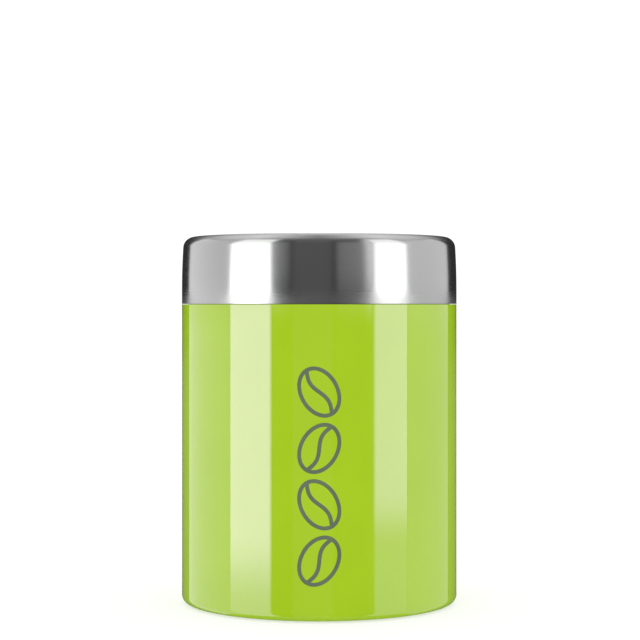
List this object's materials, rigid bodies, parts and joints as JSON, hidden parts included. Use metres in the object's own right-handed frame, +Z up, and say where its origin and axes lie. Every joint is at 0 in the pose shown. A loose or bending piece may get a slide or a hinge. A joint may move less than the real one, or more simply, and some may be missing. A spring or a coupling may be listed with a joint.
{
  "type": "storage canister",
  "caption": "Round steel kitchen canister with an enamelled body and a push-on stainless steel lid that a silicone ring seals.",
  "frame": {"origin": "centre of the circle that the canister stands on", "axes": "+Z up along the canister's axis, -Y to the front, where the printed motif is"},
  "size_m": [0.11, 0.11, 0.146],
  "materials": {
    "enamel": "gloss lime enamel",
    "stainless": "satin stainless steel",
    "tinned_steel": "plain tinned steel",
    "polypropylene": "moulded, off-white",
    "silicone": "translucent silicone",
    "foot_rubber": "matt dark grey"
  },
  "bodies": {
    "canister": {"body_shell": "enamel", "base_pan": "tinned_steel", "foot_ring": "foot_rubber", "neck_collar": "stainless"},
    "lid": {"lid_cap": "stainless", "lid_liner": "polypropylene", "seal_ring": "silicone"}
  },
  "joints": [
    {"name": "lid_lift", "type": "slide", "parent": "canister", "child": "lid", "axis": [0, 0, 1], "range_m": [0, 0.06]}
  ]
}
